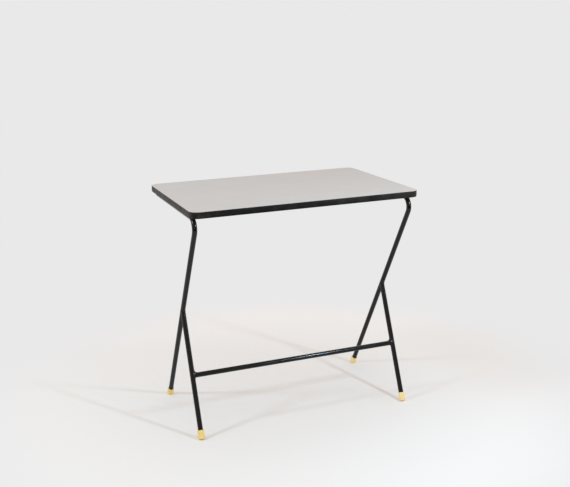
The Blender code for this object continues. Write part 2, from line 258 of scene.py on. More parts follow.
class StageSettings(bpy.types.PropertyGroup):
    """Camera, lamps and floor."""

    camera_place: position("Camera", "Where the camera stands", (-0.9219, -2.3545, 1.1325))
    camera_yaw: degrees("Yaw", "Turn of the camera to the right of +Y", 21.60)
    camera_pitch: degrees("Pitch", "Tilt of the camera below the horizon", 14.40)
    camera_roll: degrees("Roll", "Roll of the camera", -1.00)
    lens: amount("Lens", "Focal length in millimetres", 56.50, "CAMERA")
    fill: amount("Fill", "Strength of the light from all round", 0.90)
    room: amount("Room", "How bright reflections see the room in front", 0.5)
    near_floor: amount("Near floor", "How bright reflections see the floor round the table", 0.78)
    front_floor: amount("Front floor", "How bright reflections see the floor far in front", 0.05)
    right_place: position("Right lamp", "Where the lamp on the right stands", (0.66, -1.22, 1.19))
    right_width: length("Right lamp width", "Width of the lamp on the right", 0.08)
    right_height: length("Right lamp height", "Height of the lamp on the right", 0.2)
    right_power: amount("Right lamp power", "Power of the lamp on the right, in watts", 8.7, "POWER")
    left_place: position("Left lamp", "Where the lamp on the left stands", (-2.3, -0.15, 1.9))
    left_width: length("Left lamp width", "Width of the lamp on the left", 0.3)
    left_height: length("Left lamp height", "Height of the lamp on the left", 0.3)
    left_power: amount("Left lamp power", "Power of the lamp on the left, in watts", 18.5, "POWER")
    floor_radius: length("Floor radius", "Radius of the studio floor", 12.0)
    shadow_radius: length("Shadow radius", "How far out the floor still takes a shadow", 0.6)
    fade_radius: length("Fade radius", "Where the floor has become the backdrop", 1.1)
    mirror_near: length("Mirror near", "Where reflections begin to see the room in place of the floor", 0.95)
    mirror_far: length("Mirror far", "Where reflections see only the room", 1.9)


class SideTableSettings(bpy.types.PropertyGroup):
    """Everything that can be set on the table."""

    top: PointerProperty(type=TopSizes)
    tube: PointerProperty(type=TubeSizes)
    foot: PointerProperty(type=FootSizes)
    fastener: PointerProperty(type=FastenerSizes)
    colours: PointerProperty(type=FinishColours)
    stage: PointerProperty(type=StageSettings)


# Materials


def add_node(tree, kind, inputs=None, output=None, **settings):
    """Adds a shader node and gives its output socket.

    An input is a value for the socket, or the socket of another node that feeds it.
    """
    node = tree.nodes.new(f"ShaderNode{kind}")
    for name, value in settings.items():
        setattr(node, name, value)
    for key, value in (inputs or {}).items():
        named = [socket for socket in node.inputs if socket.name == key and socket.enabled]
        socket = named[0] if named else node.inputs[key]
        if isinstance(value, bpy.types.NodeSocket):
            tree.links.new(value, socket)
        else:
            socket.default_value = value
    shown = [socket for socket in node.outputs if socket.enabled and output in (None, socket.name)]
    return shown[0] if shown else None


def node_adder(owner):
    """Empties the nodes of a material or a world, and gives what adds nodes to it."""
    owner.use_nodes = True
    owner.node_tree.nodes.clear()
    return partial(add_node, owner.node_tree)


def finish(name, draw, *values):
    """A material, drawn the first time that it is asked for.

    What draws its surface gets the function that adds nodes, and the place that patterns are drawn from.
    """
    if name in bpy.data.materials:
        return bpy.data.materials[name]
    material = bpy.data.materials.new(name)
    add = node_adder(material)
    place = add("TexCoord", output="Object")
    add("OutputMaterial", {"Surface": draw(add, place, *values)})
    return material


def per_metre(millimetres):
    """Scale of a pattern whose marks are this far apart."""
    return 1000 / millimetres


def opaque(tint):
    return (*tint, 1)


def shade(tint, factor):
    """A lighter or darker colour."""
    return (*[min(1, channel * factor) for channel in tint], 1)


def shades(tint, dark, light):
    """A darker and a lighter colour, as the two ends of a mix."""
    return {"A": shade(tint, dark), "B": shade(tint, light)}


def seen_by_camera(add):
    """1 where the camera looks, directly or through something clear, and 0 for other light."""
    direct = add("LightPath", output="Is Camera Ray")
    through = add("LightPath", output="Is Transmission Ray")
    return add("Math", {0: direct, 1: through}, operation="MAXIMUM")


def grey_laminate(add, place, colours):
    # Melamine laminate pressed against a matt plate: an even grey with a soft mottle and faint streaks along
    # the sheet. Years of wiping left it a little smoother in places, with hair scratches.
    mottle = add("TexNoise", {"Vector": place, "Scale": per_metre(60), "Detail": 4})
    along = add("Mapping", {"Vector": place, "Scale": (0.08, 1, 1)})
    streak = add("TexNoise", {"Vector": along, "Scale": per_metre(7), "Detail": 3})
    # The real fleck is finer than a millimetre; it is drawn at 3 mm so that it shows
    fleck = add("TexNoise", {"Vector": place, "Scale": per_metre(3), "Detail": 2})
    pattern = add("Math", {0: streak, 1: 0.5, 2: mottle}, operation="MULTIPLY_ADD")
    pattern = add("Math", {0: fleck, 1: 0.6, 2: pattern}, operation="MULTIPLY_ADD")
    tone = add("MapRange", {"Value": pattern, "From Min": 0.65, "From Max": 1.45})
    paint = add("Mix", {"Factor": tone, **shades(colours.laminate, 0.96, 1.04)}, data_type="RGBA")
    wiped = add("Mapping", {"Vector": place, "Rotation": (0, 0, WIPE_ANGLE), "Scale": (0.02, 1, 1)})
    scratch = add("TexNoise", {"Vector": wiped, "Scale": per_metre(4), "Detail": 2})
    scratched = add("MapRange", {"Value": scratch, "From Min": 0.66, "From Max": 0.74})
    matt = add("MapRange", {"Value": mottle, **NOISE_RANGE, "To Min": 0.58, "To Max": 0.66})
    rough = add("Math", {0: scratched, 1: 0.12, 2: matt}, operation="MULTIPLY_ADD")
    dimple = add("Bump", {"Height": fleck, "Strength": 0.25, "Distance": 0.0001})
    return add("BsdfPrincipled", {"Base Color": paint, "Roughness": rough, "Normal": dimple, "IOR": 1.5})


def laminate_core(add, place, colours):
    # Cut edge of the laminate: brown resin-soaked paper, in layers too thin to tell apart, filed dull
    along = add("Mapping", {"Vector": place, "Scale": (0.1, 0.1, 4)})
    layer = add("TexNoise", {"Vector": along, "Scale": per_metre(2), "Detail": 3})
    paint = add("Mix", {"Factor": layer, **shades(colours.laminate_core, 0.6, 1.4)}, data_type="RGBA")
    return add("BsdfPrincipled", {"Base Color": paint, "Roughness": 0.6, "IOR": 1.5})


def black_strip(add, place, colours):
    # Calendered vinyl strip: satin black, greyed by fine scratches along it and by patches of dust. The grey
    # is painted stronger towards the right of the front, as a painted reflection, and on the left end, as
    # painted light from the left. It is rubbed brown at the left front corner and in a few spots along the
    # front.
    along = add("Mapping", {"Vector": place, "Scale": (0.06, 0.06, 1)})
    scratch = add("TexNoise", {"Vector": along, "Scale": per_metre(2.5), "Detail": 4})
    scratched = add("MapRange", {"Value": scratch, "From Min": 0.56, "From Max": 0.78})
    blotch = add("TexNoise", {"Vector": place, "Scale": per_metre(14), "Detail": 4, "Roughness": 0.65})
    away = add("VectorMath", {0: place, 1: RUBBED_CORNER}, output="Value", operation="DISTANCE")
    rub = {"From Min": RUBBED_BARE, "From Max": RUBBED_REACH, "To Min": 0.26, "To Max": 0}
    near = add("MapRange", {"Value": away, **rub})
    rubbed = add("Math", {0: blotch, 1: near}, operation="ADD")
    worn = add("MapRange", {"Value": rubbed, "From Min": 0.66, "From Max": 0.9})
    dust_and_painted_light = add("TexNoise", {"Vector": place, "Scale": per_metre(45), "Detail": 3})
    across = add("SeparateXYZ", {"Vector": place}, output="X")
    # The grey grows to the right, as a painted reflection, and again over the last millimetres on the left, as
    # painted light
    dust_and_painted_light = add("Math", {0: across, 1: 0.45, 2: dust_and_painted_light}, operation="MULTIPLY_ADD")
    # Painted light from the left over the last millimetres of the strip
    end = {"From Min": BAND_LOW.x + PAINTED_LIGHT_END, "From Max": BAND_LOW.x, "To Max": 0.45}
    painted_left_light = add("MapRange", {"Value": across, **end})
    dust_and_painted_light = add("Math", {0: dust_and_painted_light, 1: painted_left_light}, operation="ADD")
    dust_and_light_mask = add("MapRange", {"Value": dust_and_painted_light, "From Min": 0.44, "From Max": 0.66})
    scratches_dust_and_light = add("Math", {0: scratched, 1: dust_and_light_mask}, operation="MAXIMUM")
    # The grey mixes in scratches, dust, a painted reflection and painted light
    black, grey = opaque(colours.strip), opaque(colours.strip_dust_and_light)
    paint = add("Mix", {"Factor": scratches_dust_and_light, "A": black, "B": grey}, data_type="RGBA")
    paint = add("Mix", {"Factor": worn, "A": paint, "B": opaque(colours.strip_worn)}, data_type="RGBA")
    rough = add("MapRange", {"Value": blotch, **NOISE_RANGE, "To Min": 0.46, "To Max": 0.60})
    groove = add("Bump", {"Height": scratch, "Strength": 0.3, "Distance": 0.0002})
    return add("BsdfPrincipled", {"Base Color": paint, "Roughness": rough, "Normal": groove, "IOR": 1.35})


def black_enamel(add, place, colours, roughness):
    # Stoved enamel on steel: deep gloss black with the soft waviness of sprayed paint and a little dust and
    # handling haze, which dulls the gloss in patches. Small chips are greyer.
    peel = add("TexNoise", {"Vector": place, "Scale": per_metre(8), "Detail": 1})
    haze = add("TexNoise", {"Vector": place, "Scale": per_metre(35), "Detail": 4})
    speck = add("TexNoise", {"Vector": place, "Scale": per_metre(4), "Detail": 3, "Roughness": 0.7})
    chipped = add("MapRange", {"Value": speck, "From Min": 0.72, "From Max": 0.76})
    paint = add("Mix", {"Factor": haze, **shades(colours.enamel, 0.7, 1.4)}, data_type="RGBA")
    paint = add("Mix", {"Factor": chipped, "A": paint, "B": shade(colours.enamel, 5)}, data_type="RGBA")
    hazy = {"To Min": roughness - 0.05, "To Max": roughness + 0.07}
    rough = add("MapRange", {"Value": haze, **NOISE_RANGE, **hazy})
    wave = add("Bump", {"Height": peel, "Strength": 0.04, "Distance": 0.0002})
    return add("BsdfPrincipled", {"Base Color": paint, "Roughness": rough, "Normal": wave, "IOR": 1.45})


def tube_enamel(colours):
    return finish("black stoved enamel", black_enamel, colours, TUBE_ROUGHNESS)


def weld_enamel(colours):
    return finish("black enamel over weld", black_enamel, colours, WELD_ROUGHNESS)


def yellow_plastic(add, place, colours):
    # Soft moulded plastic, once ivory and gone yellow: light sinks into it a little, and the scuffs are soiled
    # from the floor. The lowest millimetres are painted darker, as painted shade where the cap meets the
    # floor.
    height = add("SeparateXYZ", {"Vector": place}, output="Z")
    cloud = add("TexNoise", {"Vector": place, "Scale": per_metre(9), "Detail": 3})
    scuff = add("TexNoise", {"Vector": place, "Scale": per_metre(3), "Detail": 4, "Roughness": 0.7})
    # Painted shade over the lowest millimetres, where the cap meets the floor
    painted_shade_range = {"From Min": 0, "From Max": PAINTED_SHADE_HEIGHT, "To Min": 0.3, "To Max": 0}
    low = add("MapRange", {"Value": height, **painted_shade_range})
    # Soil in the scuffs and the painted shade at the floor, together
    dirt_and_shade = add("Math", {0: scuff, 1: low}, operation="ADD")
    soiled_and_shaded = add("MapRange", {"Value": dirt_and_shade, "From Min": 0.62, "From Max": 1.0, "To Max": 0.7})
    across = add("SeparateXYZ", {"Vector": place}, output="X")
    aged = add("MapRange", {"Value": across, "From Min": SIDES["left"].x, "From Max": SIDES["right"].x})
    deep, pale = opaque(colours.cap_aged), opaque(colours.cap)
    paint = add("Mix", {"Factor": aged, "A": deep, "B": pale}, data_type="RGBA")
    tone = add("MapRange", {"Value": cloud, **NOISE_RANGE, "To Min": 0.95, "To Max": 1.05})
    paint = add("VectorMath", {0: paint, "Scale": tone}, operation="SCALE")
    paint = add("Mix", {"Factor": soiled_and_shaded, "A": paint, "B": opaque(colours.cap_soil_and_shade)}, data_type="RGBA")
    rough = add("MapRange", {"Value": scuff, **NOISE_RANGE, "To Min": 0.4, "To Max": 0.58})
    grain = add("Bump", {"Height": scuff, "Strength": 0.2, "Distance": 0.0002})
    look = {"Base Color": paint, "Roughness": rough, "Normal": grain, "IOR": 1.51}
    sink = {"Subsurface Weight": 0.2, "Subsurface Radius": (0.004, 0.003, 0.0015), "Subsurface Scale": 1.0}
    return add("BsdfPrincipled", {**look, **sink})


def bare_plywood(add, place, colours):
    # Rotary-cut veneer, sanded and left bare: long flowing grain with fine dark pores
    along = add("Mapping", {"Vector": place, "Scale": (0.05, 1, 1)})
    figure = add("TexNoise", {"Vector": along, "Scale": per_metre(28), "Detail": 3, "Distortion": 0.6})
    rings = add("Math", {0: figure, 1: 14}, operation="MULTIPLY")
    rings = add("Math", {0: rings, 1: 1}, operation="PINGPONG")
    pores = add("TexNoise", {"Vector": along, "Scale": per_metre(1.5), "Detail": 3})
    grain = add("Math", {0: pores, 1: 0.7, 2: rings}, operation="MULTIPLY_ADD")
    tone = add("MapRange", {"Value": grain, "From Min": 0.3, "From Max": 1.5})
    pale, dark = opaque(colours.plywood), opaque(colours.plywood_grain)
    paint = add("Mix", {"Factor": tone, "A": pale, "B": dark}, data_type="RGBA")
    fibre = add("Bump", {"Height": pores, "Strength": 0.3, "Distance": 0.0002})
    return add("BsdfPrincipled", {"Base Color": paint, "Roughness": 0.65, "Normal": fibre, "IOR": 1.5})


def zinc_plate(add, place, colours):
    # Bright zinc on turned steel: clouded silver, duller where it has begun to oxidise
    cloud = add("TexNoise", {"Vector": place, "Scale": per_metre(2.5), "Detail": 4})
    paint = add("Mix", {"Factor": cloud, **shades(colours.zinc, 0.7, 1.1)}, data_type="RGBA")
    rough = add("MapRange", {"Value": cloud, **NOISE_RANGE, "To Min": 0.25, "To Max": 0.45})
    return add("BsdfPrincipled", {"Base Color": paint, "Roughness": rough, "Metallic": 1.0})


def plug_plastic(add, place, colours):
    # Injection-moulded polythene: dull black with a fine spark-eroded grain. The real grain is about 0.2 mm;
    # it is drawn at 1.2 mm so that it shows.
    grain = add("TexNoise", {"Vector": place, "Scale": per_metre(1.2), "Detail": 3})
    paint = add("Mix", {"Factor": grain, **shades(colours.plug, 0.8, 1.4)}, data_type="RGBA")
    rough = add("MapRange", {"Value": grain, **NOISE_RANGE, "To Min": 0.45, "To Max": 0.6})
    pitted = add("Bump", {"Height": grain, "Strength": 0.3, "Distance": 0.0001})
    return add("BsdfPrincipled", {"Base Color": paint, "Roughness": rough, "Normal": pitted, "IOR": 1.51})


def studio_paper(add, place, colours, stage):
    # Matt paper that takes the shadow near the table and turns into the even backdrop further out. Its fibres
    # are finer than a millimetre; they are drawn at 3 mm so that they show.
    away = add("VectorMath", {0: place}, output="Value", operation="LENGTH")
    seen = seen_by_camera(add)
    inner = add("Mix", {"Factor": seen, "A": stage.mirror_near, "B": stage.shadow_radius})
    outer = add("Mix", {"Factor": seen, "A": stage.mirror_far, "B": stage.fade_radius})
    edge = {"Value": away, "From Min": inner, "From Max": outer}
    fade = add("MapRange", edge, interpolation_type="SMOOTHSTEP")
    fibre = add("TexNoise", {"Vector": place, "Scale": per_metre(3), "Detail": 3})
    paint = add("Mix", {"Factor": fibre, **shades(colours.paper, 0.99, 1.01)}, data_type="RGBA")
    # The lamps reach least far at the back right, so the paper is lighter there and the floor looks even
    far = add("VectorMath", {0: place, 1: FALL_OFF}, output="Value", operation="DOT_PRODUCT")
    even = {"From Min": FALL_OFF_NEAR, "From Max": FALL_OFF_FAR, "To Min": 0.98, "To Max": 1.06}
    level = add("MapRange", {"Value": far, **even})
    paint = add("VectorMath", {0: paint, "Scale": level}, operation="SCALE")
    mirrored = add("LightPath", output="Is Glossy Ray")
    dimmed = add("MapRange", {"Value": mirrored, "To Min": 1, "To Max": stage.near_floor})
    paint = add("VectorMath", {0: paint, "Scale": dimmed}, operation="SCALE")
    paper = add("BsdfDiffuse", {"Color": paint})
    depth = add("SeparateXYZ", {"Vector": place}, output="Y")
    front = {"From Min": -stage.mirror_far, "From Max": -stage.mirror_near, "To Min": stage.front_floor}
    room = add("MapRange", {"Value": depth, **front})
    strength = add("Mix", {"Factor": seen, "A": room, "B": 1.0})
    glow = add("Emission", {"Color": opaque(colours.backdrop), "Strength": strength})
    return add("MixShader", {0: fade, 1: paper, 2: glow})


# Shapes


def link_object(name, data):
    """A new object in the scene."""
    made = bpy.data.objects.new(name, data)
    bpy.context.scene.collection.objects.link(made)
    return made


def add_object(shape, name, *materials):
    """Ends a bmesh as an object with its materials."""
    mesh = bpy.data.meshes.new(name)
    shape.to_mesh(mesh)
    shape.free()
    for material in materials:
        mesh.materials.append(material)
    return link_object(name, mesh)


def add_piece(shape, name, node, slot, *materials):
    """Ends a bmesh as a piece that stands for a solid of the table."""
    piece = add_object(shape, name, *materials)
    piece.data.shade_smooth()
    piece.data.set_sharp_from_angle(angle=SMOOTH_ANGLE)
    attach(piece, BODY)
    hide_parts(node)
    return piece


def of_kind(parts, kind):
    """The vertices or the edges among the parts that a bmesh operator made."""
    return [part for part in parts if isinstance(part, kind)]


def upright_edges(shape, middle):
    """Edges that cross a height."""
    return [edge for edge in shape.edges if (edge.verts[0].co.z < middle) != (edge.verts[1].co.z < middle)]


def bevel(shape, edges, width, segments):
    bmesh.ops.bevel(
        shape, geom=edges, offset=width, segments=segments, profile=0.5, affect="EDGES", material=-1
    )


def cut(shape, point, normal, clear_inner=False):
    """Cuts a shape along a plane and gives the edges of the cut."""
    whole = shape.verts[:] + shape.edges[:] + shape.faces[:]
    made = bmesh.ops.bisect_plane(shape, geom=whole, plane_co=point, plane_no=normal, clear_inner=clear_inner)
    return of_kind(made["geom_cut"], BMEdge)


def move(shape, step):
    bmesh.ops.translate(shape, verts=shape.verts, vec=step)


def face_out(shape):
    bmesh.ops.recalc_face_normals(shape, faces=shape.faces)


def round_board(low, high, corner_radius):
    """Flat board between two corners, with round upright edges."""
    shape = bmesh.new()
    bmesh.ops.create_cube(shape, size=1)
    bmesh.ops.scale(shape, verts=shape.verts, vec=high - low)
    bevel(shape, upright_edges(shape, 0), corner_radius, CORNER_STEPS)
    move(shape, (low + high) / 2)
    return shape


def place_along(point, axis):
    """Turn and move that take the origin to a point and Z along an axis."""
    return Matrix.Translation(point) @ axis.to_track_quat("Z", "Y").to_matrix().to_4x4()


def ring_across(shape, centre, axis):
    """Loop of edges of the tube's size across an axis, in an empty bmesh."""
    place = place_along(centre, axis)
    bmesh.ops.create_circle(shape, segments=TUBE_SIDES, radius=TUBE_RADIUS, matrix=place)
    return shape.edges[:]


def draw_out(shape, ring, step):
    """Extrudes a loop of edges by a vector and gives the loop at the new end."""
    made = bmesh.ops.extrude_edge_only(shape, edges=ring)["geom"]
    bmesh.ops.translate(shape, verts=of_kind(made, BMVert), vec=step)
    return [edge for edge in of_kind(made, BMEdge) if edge.is_boundary]


def verts_of(ring):
    """Vertices of a loop of edges, each once."""
    return list(dict.fromkeys(vert for edge in ring for vert in edge.verts))


def give_wall(shape, thickness):
    """Turns an open skin into a wall that grows inward."""
    face_out(shape)
    bmesh.ops.solidify(shape, geom=shape.faces[:], thickness=thickness)


def turned(profile, sides):
    """Solid of revolution about Z, from (radius, height) points."""
    shape = bmesh.new()
    points = [shape.verts.new((radius, 0, height)) for radius, height in profile]
    edges = [shape.edges.new(pair) for pair in zip(points, points[1:])]
    line = points + edges
    bmesh.ops.spin(shape, geom=line, cent=(0, 0, 0), axis=UP, angle=math.tau, steps=sides, use_merge=True)
    bmesh.ops.remove_doubles(shape, verts=shape.verts, dist=MERGE)
    face_out(shape)
    return shape


def circle_edges(shape, radius, height):
    """Edges that run round a turned shape at a radius and height."""

    def on_circle(vert):
        return abs(vert.co.xy.length - radius) < MERGE and abs(vert.co.z - height) < MERGE

    return [edge for edge in shape.edges if all(on_circle(vert) for vert in edge.verts)]


def dome(radius, height, base):
    """Profile of a low dome, from its rim to its middle."""
    angles = [math.pi / 2 * step / DOME_STEPS for step in range(DOME_STEPS)]
    return [(radius * math.cos(a), base + height * math.sin(a)) for a in angles] + [(0, base + height)]


def stand(shape, point, axis):
    """Moves a turned shape to a point and turns its Z along an axis."""
    bmesh.ops.transform(shape, matrix=place_along(point, axis), verts=shape.verts)


class EndFrame:
    """Points and directions of one end frame, in its own plane x = 0."""

    def __init__(self, sizes):
        radius = sizes.bend_radius
        front = LAMINATE_LOW.y + sizes.bend_inset + TUBE_RADIUS
        self.rail_end = Vector((0, LEG_HIGH.y, RAIL_HEIGHT))
        self.bend_centre = Vector((0, front + radius, RAIL_HEIGHT - radius))
        self.bend_end = self.bend_centre + Vector((0, 0, radius))
        self.front_foot = Vector((0, LAMINATE_LOW.y + sizes.front_foot_inset, 0))
        self.rear_foot = Vector((0, LAMINATE_HIGH.y - sizes.rear_foot_inset, 0))
        reach = self.bend_centre - self.rear_foot
        slant = math.atan2(-reach.y, reach.z) + math.asin(radius / reach.length)
        self.turn = math.pi / 2 + slant
        self.leg_up = Vector((0, -math.sin(slant), math.cos(slant)))
        self.bend_start = self.bend_centre - Vector((0, math.cos(slant), math.sin(slant))) * radius
        self.strut_joint = self.rear_foot + self.leg_up * (sizes.strut_height / self.leg_up.z)
        self.strut_up = (self.strut_joint - self.front_foot).normalized()
        self.stretcher_joint = self.front_foot + self.strut_up * (sizes.stretcher_height / self.strut_up.z)


class TubeJoint:
    """Where a branch tube meets the side of a main tube of the same size.

    An angle round the branch is measured from its flush side, and is +90 degrees on the side that the main
    tube's direction points to.
    """

    def __init__(self, centre, main, branch):
        self.centre = centre
        self.main = main
        self.branch = branch
        self.cosine = main.dot(branch)
        self.sine = math.sqrt(1 - self.cosine**2)
        self.toward = (main - branch * self.cosine) / self.sine
        self.across = branch.cross(self.toward)
        self.away = branch * self.sine - self.toward * self.cosine

    def angle_of(self, point):
        offset = point - self.centre
        return math.atan2(offset.dot(self.toward), offset.dot(self.across))

    def seam_distance(self, angle):
        """How far along the branch the two surfaces meet."""
        lean = math.sin(angle)
        return TUBE_RADIUS * (abs(lean) + lean * self.cosine) / self.sine

    def branch_normal(self, angle):
        return self.across * math.cos(angle) + self.toward * math.sin(angle)

    def on_branch(self, angle, reach):
        """Point on the branch tube, a distance past the seam."""
        along = self.seam_distance(angle) + reach
        return self.centre + self.branch * along + self.branch_normal(angle) * TUBE_RADIUS

    def on_main(self, angle, reach):
        """Point on the main tube, a distance past the seam."""
        height = (self.on_branch(angle, 0) - self.centre).dot(self.main) + reach * math.sin(angle)
        turn = math.atan2(math.cos(angle), abs(math.sin(angle))) + reach * math.cos(angle) / TUBE_RADIUS
        normal = self.across * math.sin(turn) + self.away * math.cos(turn)
        return self.centre + self.main * height + normal * TUBE_RADIUS

    def outward(self, angle):
        """Direction that a weld swells in, between the two surfaces."""
        main_normal = self.across * math.cos(angle) + self.away * abs(math.sin(angle))
        return (self.branch_normal(angle) + main_normal).normalized()

    def cope(self, verts):
        """Trims the end of the branch to the side of the main tube."""
        for vert in verts:
            vert.co += self.branch * self.seam_distance(self.angle_of(vert.co))


def weld_point(joint, sizes, upper, angle, step):
    """Point of a weld: step by step from the branch tube to the main tube, then the root inside them."""
    lean = math.sin(angle)
    corner = upper if lean > 0 else sizes.weld_lower
    reach = sizes.weld_side + (corner - sizes.weld_side) * abs(lean)
    seam = joint.on_branch(angle, 0)
    outward = joint.outward(angle)
    if step > WELD_STEPS:
        return seam - outward * WELD_ROOT
    rise = sizes.weld_rise + sizes.weld_ripple * math.cos(WELD_RIPPLES * angle)
    start = joint.on_branch(angle, reach)
    end = joint.on_main(angle, reach)
    swell = seam + outward * rise
    share = step / WELD_STEPS
    return start * (1 - share) ** 2 + swell * 2 * share * (1 - share) + end * share**2


def weld_bead(joint, sizes, upper):
    """Rippled weld in the corner round a joint, as a closed ring, with the leg of its upper corner."""
    shape = bmesh.new()
    bmesh.ops.create_circle(shape, segments=WELD_SIDES, radius=1)
    first = shape.edges[:]
    last = first
    for _ in range(WELD_STEPS + 1):
        last = draw_out(shape, last, UP)
    bmesh.ops.bridge_loops(shape, edges=first + last)
    for vert in shape.verts:
        vert.co = weld_point(joint, sizes, upper, math.atan2(vert.co.y, vert.co.x), round(vert.co.z))
    face_out(shape)
    if shape.calc_volume(signed=True) < 0:
        bmesh.ops.reverse_faces(shape, faces=shape.faces)
    return shape


def cap_radius(sizes):
    """Outer radius of a cap's rim."""
    return TUBE_RADIUS + sizes.clearance + sizes.rim_wall


def cap_base(foot, up, sizes):
    """Middle of a cap's sole, placed so that the floor takes the flat off its low edge."""
    lean = math.sqrt(1 - up.z**2)
    radius = cap_radius(sizes) + sizes.flare
    low_edge = sizes.base_edge * (up.z - 1) - (radius - sizes.base_edge) * lean
    return foot - up * ((low_edge + sizes.flat_depth) / up.z)


def tube_end(foot, up, sizes):
    """Where a tube ends inside its cap."""
    return cap_base(foot, up, sizes) + up * (sizes.sole + sizes.clearance)


def foot_cap(sizes):
    """Flared cap with a bore for the tube, standing on the origin."""
    bore = TUBE_RADIUS + sizes.clearance
    rim = cap_radius(sizes)
    base = rim + sizes.flare
    profile = [(0, sizes.sole), (bore, sizes.sole), (bore, sizes.cap_length)]
    profile += [(rim, sizes.cap_length), (base, 0), (0, 0)]
    shape = turned(profile, CAP_SIDES)
    bevel(shape, circle_edges(shape, base, 0), sizes.base_edge, EDGE_STEPS)
    bevel(shape, circle_edges(shape, rim, sizes.cap_length), sizes.rim_edge, ARRIS_STEPS)
    bevel(shape, circle_edges(shape, bore, sizes.cap_length), sizes.rim_edge / 2, ARRIS_STEPS)
    return shape


def screw_numbers(table):
    return range(1, table.fastener.screws_per_rail + 1)


def screw_place(side, number, table):
    """Seat of a screw: where the rim of its head meets the upper wall inside the rail."""
    low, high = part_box(f"{side}_rail_screw_{number}")
    sizes = table.fastener
    bore = TUBE_RADIUS - table.tube.wall - sizes.clearance
    seat = (low + high) / 2
    seat.z = RAIL_HEIGHT + math.sqrt(bore**2 - (sizes.head_diameter / 2) ** 2)
    return seat


def slotted_screw(sizes, screw_length):
    """Round-head screw that points up, with the underside of its head at the origin."""
    shank = sizes.shank_diameter / 2
    profile = [(0, screw_length), (shank, screw_length - sizes.point_length), (shank, 0)]
    profile += dome(sizes.head_diameter / 2, -sizes.head_height, 0)
    shape = turned(profile, FASTENER_SIDES)
    half_slot = sizes.slot_width / 2
    for wall in (-half_slot, half_slot):
        cut(shape, (0, wall, 0), BACK)
    middles = {face: face.calc_center_median() for face in shape.faces}
    slot = [face for face, middle in middles.items() if abs(middle.y) < half_slot and middle.z < 0]
    made = bmesh.ops.extrude_face_region(shape, geom=slot)["geom"]
    bmesh.ops.delete(shape, geom=slot, context="FACES")
    for vert in of_kind(made, BMVert):
        vert.co.z = max(vert.co.z, sizes.slot_depth - sizes.head_height)
    bmesh.ops.remove_doubles(shape, verts=shape.verts, dist=MERGE)
    bmesh.ops.dissolve_degenerate(shape, edges=shape.edges, dist=MERGE)
    face_out(shape)
    return shape


def drill_from_below(piece, places, radius):
    """Cuts round holes in the lower half of a rail."""
    shape = bmesh.new()
    for place in places:
        middle = Vector((place.x, place.y, RAIL_HEIGHT - TUBE_RADIUS))
        bmesh.ops.create_cone(
            shape,
            cap_ends=True,
            segments=FASTENER_SIDES,
            radius1=radius,
            radius2=radius,
            depth=2 * TUBE_RADIUS,
            matrix=Matrix.Translation(middle),
        )
    drill = add_object(shape, "drill")
    holes = piece.modifiers.new("access holes", "BOOLEAN")
    holes.operation = "DIFFERENCE"
    holes.object = drill
    graph = bpy.context.evaluated_depsgraph_get()
    piece.data = bpy.data.meshes.new_from_object(piece.evaluated_get(graph), depsgraph=graph)
    piece.data.set_sharp_from_angle(angle=SMOOTH_ANGLE)
    piece.modifiers.remove(holes)
    bpy.data.objects.remove(drill)


# Stage


def add_floor(table):
    shape = bmesh.new()
    bmesh.ops.create_circle(shape, cap_ends=True, segments=CAP_SIDES, radius=table.stage.floor_radius)
    paper = finish("studio paper", studio_paper, table.colours, table.stage)
    floor = add_object(shape, "floor", paper)


def add_world(scene, table):
    """Soft warm light from all round.

    The camera sees the backdrop on every side. Reflections see the light behind the table, and a dimmer room
    in front.
    """
    scene.world = bpy.data.worlds.new("studio")
    add = node_adder(scene.world)
    direction = add("TexCoord", output="Generated")
    depth = add("SeparateXYZ", {"Vector": direction}, output="Y")
    front = {"From Min": ROOM_AHEAD, "From Max": ROOM_BEHIND, "To Min": table.stage.room}
    room = add("MapRange", {"Value": depth, **front})
    mirrored = add("LightPath", output="Is Glossy Ray")
    strength = add("Mix", {"Factor": mirrored, "A": table.stage.fill, "B": room})
    seen = seen_by_camera(add)
    strength = add("Mix", {"Factor": seen, "A": strength, "B": 1.0})
    fill, backdrop = opaque(table.colours.fill_light), opaque(table.colours.backdrop)
    tint = add("Mix", {"Factor": seen, "A": fill, "B": backdrop}, data_type="RGBA")
    surface = add("Background", {"Color": tint, "Strength": strength})
    add("OutputWorld", {"Surface": surface})


def add_lamp(name, place, size, power, colours):
    """Small cool lamp of a width and height that faces the table."""
    light = bpy.data.lights.new(name, "AREA")
    light.shape = "RECTANGLE"
    light.size, light.size_y = size
    light.energy = power
    light.color = colours.lamp_light
    lamp = link_object(name, light)
    lamp.location = place
    target = Vector((0, 0, LAMINATE_HIGH.z / 2))
    lamp.rotation_euler = (target - place).to_track_quat("-Z", "Y").to_euler()


def add_camera(scene, stage):
    data = bpy.data.cameras.new("camera")
    data.sensor_fit = "HORIZONTAL"
    data.lens = stage.lens
    camera = link_object("camera", data)
    yaw = Matrix.Rotation(-stage.camera_yaw, 4, "Z")
    pitch = Matrix.Rotation(math.pi / 2 - stage.camera_pitch, 4, "X")
    roll = Matrix.Rotation(stage.camera_roll, 4, "Z")
    camera.matrix_world = Matrix.Translation(stage.camera_place) @ (yaw @ pitch) @ roll
    scene.camera = camera


# Operators


class SIDETABLE_OT_board(bpy.types.Operator):
    """Give the board under the laminate its bare plywood"""

    bl_idname = "side_table.board"
    bl_label = "Board"

    def execute(self, context):
        colours = context.scene.side_table.colours
        plywood = finish("bare birch plywood", bare_plywood, colours)
        frame["nodes"]["top_core"].material_slots[0].material = plywood
        return {"FINISHED"}


